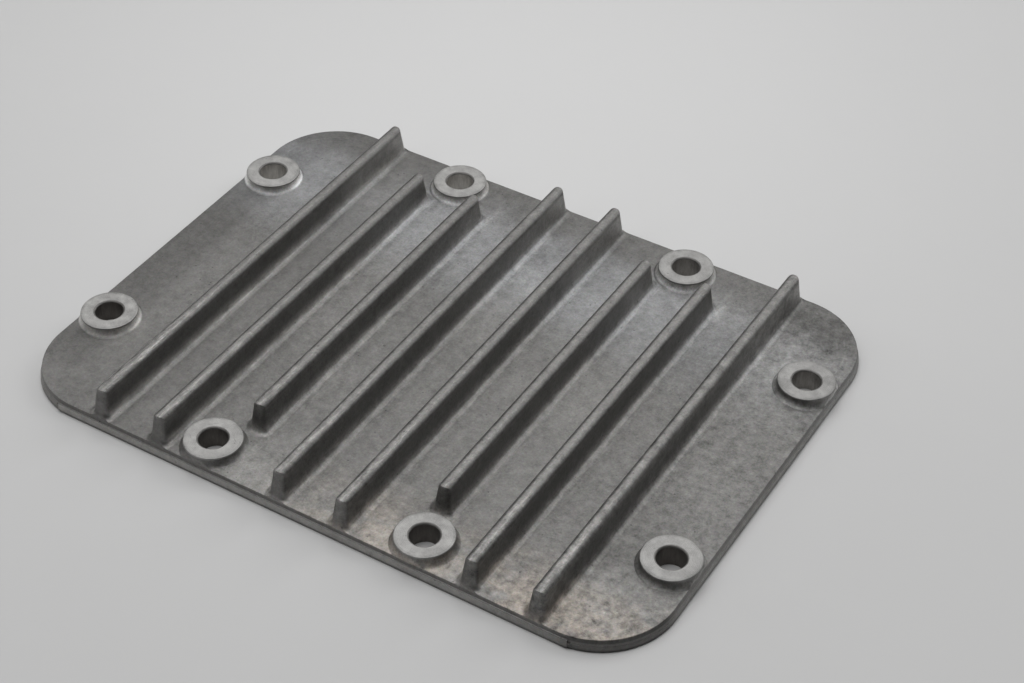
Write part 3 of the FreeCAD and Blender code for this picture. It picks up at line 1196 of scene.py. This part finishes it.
@dataclass
class PartingFlash:
    """The thin bead of flash round the side wall, trimmed off at the gate land.

    Attributes:
        sizes: the casting's sizes.
        finish: the material of the casting's skin.
        height: of the bead above the underside, in millimetres.
        thickness: the bead's radius.
        unevenness: how much that varies.
        waves: how many times it varies in a metre.
        sides: of its section.
        step: from one section to the next, in millimetres.
        clearance: how far it stops short of the gate land.
    """

    sizes: CoverSizes
    finish: bpy.types.Material
    height: float = 1.45
    thickness: float = 0.11
    unevenness: float = 0.35
    waves: float = 220.0
    sides: int = 6
    step: float = 1.2
    clearance: float = 0.6

    def build(self) -> bpy.types.Object:
        """Run the bead round the side wall.

        Returns:
            One object with the bead.
        """
        tree = Grower("parting_flash", {
            "Thickness": self.thickness * MM, "Unevenness": self.unevenness,
            "Waves": self.waves, "Sides": self.sides, "Step": self.step * MM})
        self._shape(tree)
        path = self.sizes.open_outline(self.height, self.sizes.land_half_length + self.clearance)
        flash = tree.run(point_object("flash_path", path, joined=True))
        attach(flash, "root")
        return flash

    def _shape(self, tree: Grower) -> None:
        """Sweep a small uneven section along the path."""
        given = tree.given
        path = tree.wire("GeometryNodeMeshToCurve", None, {0: given["Geometry"]})
        fine = tree.wire("GeometryNodeResampleCurve", {"mode": "LENGTH"},
                         {"Curve": path, "Length": given["Step"]})
        noise = tree.wire("ShaderNodeTexNoise", None, {"Scale": given["Waves"], "Detail": 2.0})
        swell = 1.0 + (noise - 0.5) * given["Unevenness"] * 2.0
        sized = tree.wire("GeometryNodeSetCurveRadius", None, {"Curve": fine, "Radius": swell})
        section = tree.wire("GeometryNodeCurvePrimitiveCircle", None,
                            {"Resolution": given["Sides"], "Radius": given["Thickness"]})
        swept = tree.wire("GeometryNodeCurveToMesh", None,
                          {"Curve": sized, "Profile Curve": section,
                           "Scale": swell, "Fill Caps": True})
        tree.close(tree.smoothed(swept), self.finish)


@dataclass
class OxideSpecks:
    """Small dark specks in the skin of the plate between the fins.

    Attributes:
        sizes: the casting's sizes.
        finish: their finish.
        chosen: their plan positions and radii, in millimetres.
        flatness: their height as a share of their radius.
        raggedness: how ragged their outlines are.
        lumps: how many lumps a metre of outline has.
        reach: how far the most ragged outline strays, in millimetres.
        seed: of their turns.
    """

    sizes: CoverSizes
    finish: OxideSpeck = field(default_factory=OxideSpeck)
    chosen: tuple[tuple[float, float, float], ...] = (
        (-14.3, -6.3, 0.34), (-15.8, 16.5, 0.22), (43.5, 4.0, 0.28), (17.5, -13.5, 0.24),
        (18.2, 31.0, 0.18), (18.8, 32.2, 0.16), (48.0, -49.5, 0.26), (-46.5, 21.0, 0.17),
        (30.5, -33.5, 0.20), (64.5, -8.0, 0.17), (-4.2, 29.0, 0.16), (66.8, 12.0, 0.18))
    flatness: float = 0.10
    raggedness: float = 0.35
    lumps: float = 2600.0
    reach: float = 0.6
    seed: int = 5

    def build(self) -> bpy.types.Object:
        """Lay the specks on the plate.

        Returns:
            One object with all of them.
        """
        tree = Grower("oxide_specks", {
            "Flatness": self.flatness, "Raggedness": self.raggedness,
            "Lumps": self.lumps, "Seed": self.seed})
        self._shape(tree)
        maker = point_object("speck_places",
                             [(x, y, self.sizes.plate_top) for x, y, _ in self.chosen])
        width = maker.data.attributes.new("width", "FLOAT", "POINT")
        width.data.foreach_set("value", [radius * MM for _, _, radius in self.chosen])
        specks = tree.run(maker)
        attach(specks, "root")
        return specks

    def _shape(self, tree: Grower) -> None:
        """Put a flat ragged crumb on each point."""
        given = tree.given
        crumb = tree.wire("GeometryNodeMeshIcoSphere", None, {"Radius": 1.0, "Subdivisions": 2})
        wide = tree.wire("GeometryNodeInputNamedAttribute", {"data_type": "FLOAT"},
                         {"Name": "width"})
        turn = tree.wire("FunctionNodeRandomValue", {"data_type": "FLOAT_VECTOR"},
                         {"Min": (0.0, 0.0, 0.0), "Max": (0.0, 0.0, 2 * math.pi),
                          "Seed": given["Seed"]})
        real = tree.on_points(crumb, {"Scale": tree.vector(wide, wide, wide * given["Flatness"]),
                                      "Rotation": turn})
        noise = tree.wire("ShaderNodeTexNoise", None,
                          {"Scale": given["Lumps"], "Detail": 2.0}, "Color")
        push = tree.wire("ShaderNodeVectorMath", {"operation": "SUBTRACT"},
                         {0: noise, 1: (0.5, 0.5, 0.5)})
        flat = (self.reach * MM, self.reach * MM, 0.0)
        push = tree.wire("ShaderNodeVectorMath", {"operation": "MULTIPLY"}, {0: push, 1: flat})
        push = tree.wire("ShaderNodeVectorMath", {"operation": "SCALE"},
                         {0: push, "Scale": given["Raggedness"]})
        tree.close(tree.moved(real, "Offset", push), self.finish.build())


# ---------------------------------------------------------------- studio


@dataclass(frozen=True)
class SoftLight:
    """A square soft box aimed at the cover.

    Attributes:
        name: the lamp's name.
        azimuth: the side it stands on, in degrees from +X towards +Y.
        elevation: its height above the table, in degrees.
        power: in watts.
        distance: from the cover, in metres.
        size: the length of its sides, in metres.
    """

    name: str
    azimuth: float
    elevation: float
    power: float
    distance: float = 1.2
    size: float = 0.75

    def build(self) -> None:
        """Make the lamp."""
        data = bpy.data.lights.new(self.name, "AREA")
        data.shape = "SQUARE"
        data.size = self.size
        data.energy = self.power
        lamp = linked(self.name, data)
        turn, lift = math.radians(self.azimuth), math.radians(self.elevation)
        lamp.location = Vector((math.cos(turn) * math.cos(lift), math.sin(turn) * math.cos(lift),
                                math.sin(lift))) * self.distance
        lamp.rotation_mode = "QUATERNION"
        lamp.rotation_quaternion = (-lamp.location).to_track_quat("-Z", "Y")


@dataclass
class Studio:
    """Table, lamps, surroundings and camera.

    Attributes:
        surroundings: brightness of the room.
        lamps: the soft boxes.
        table: the table's finish.
        aim: the point of the table that the camera looks at, in millimetres.
        distance: from there to the camera, in metres.
        azimuth: the camera's turn round the cover; 0 looks along +Y.
        elevation: its height, in degrees.
        roll: its tilt about its own axis.
        lens: its focal length in millimetres, on a sensor 36 mm wide.
    """

    surroundings: float = 0.03
    lamps: tuple[SoftLight, ...] = (
        SoftLight("overhead", 0.0, 90.0, 5.8),
        SoftLight("far_high", 120.0, 62.0, 2.9),
        SoftLight("left_high", 210.0, 62.0, 2.3),
        SoftLight("right_far", 60.0, 32.0, 4.4),
        SoftLight("far_low", 110.0, 32.0, 1.2),
        SoftLight("left_near", 240.0, 32.0, 1.1),
        SoftLight("left_low", 180.0, 9.0, 2.3),
    )
    table: PaleTable = field(default_factory=PaleTable)
    aim: tuple[float, float] = (7.633, 13.456)
    distance: float = 0.493635
    azimuth: float = 31.0024
    elevation: float = 41.0953
    roll: float = 0.68895
    lens: float = 75.4706

    def build(self) -> None:
        """Make everything round the cover."""
        self._table()
        for lamp in self.lamps:
            lamp.build()
        self._surroundings()
        self._camera()
        bpy.context.scene.view_settings.view_transform = "Standard"

    def _table(self) -> None:
        """A wide table top under the cover."""
        half = 4.0      # metres
        mesh = bpy.data.meshes.new("table_top")
        mesh.from_pydata([(-half, -half, 0), (half, -half, 0), (half, half, 0), (-half, half, 0)],
                         [], [(0, 1, 2, 3)])
        mesh.materials.append(self.table.build())
        table = linked("table_top", mesh)

    def _surroundings(self) -> None:
        """An even pale room."""
        world = bpy.data.worlds.new("room")
        bpy.context.scene.world = world
        world.use_nodes = True
        tree = Tree(world.node_tree)
        glow = tree.node("ShaderNodeBackground", None,
                         {"Color": (1.0, 1.0, 1.0, 1.0), "Strength": self.surroundings})
        tree.node("ShaderNodeOutputWorld", None, {"Surface": glow.outputs[0]})

    def _camera(self) -> None:
        """The camera, looking down on the cover from its near right side."""
        data = bpy.data.cameras.new("camera")
        data.lens = self.lens
        data.sensor_width = 36.0
        data.clip_start, data.clip_end = 0.01, 50.0
        camera = linked("camera", data)
        turn, lift = math.radians(self.azimuth), math.radians(self.elevation)
        back = Vector((math.sin(turn) * math.cos(lift), -math.cos(turn) * math.cos(lift),
                       math.sin(lift)))
        camera.location = Vector((self.aim[0] * MM, self.aim[1] * MM, 0.0)) + back * self.distance
        camera.rotation_mode = "QUATERNION"
        camera.rotation_quaternion = ((-back).to_track_quat("-Z", "Y")
                                      @ Quaternion((0.0, 0.0, 1.0), math.radians(self.roll)))
        bpy.context.scene.camera = camera


def main() -> None:
    """Build the cover's looks and the studio, in order."""
    logging.basicConfig(level=logging.INFO, format="%(name)s: %(message)s")
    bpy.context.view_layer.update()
    sizes = CoverSizes.from_frame()
    cover = Casting(sizes).dress()
    LOG.info("casting dressed: %s", cover.name)
    skin = cover.data.materials[0]
    LOG.info("boss blends laid: %s", BossSkirts(sizes, skin).build().name)
    LOG.info("parting flash run: %s", PartingFlash(sizes, skin).build().name)
    LOG.info("machined faces laid: %s", SpotFaces(sizes).build().name)
    LOG.info("specks laid: %s", OxideSpecks(sizes).build().name)
    Studio().build()
    LOG.info("studio built")


if __name__ == "__main__":
    main()
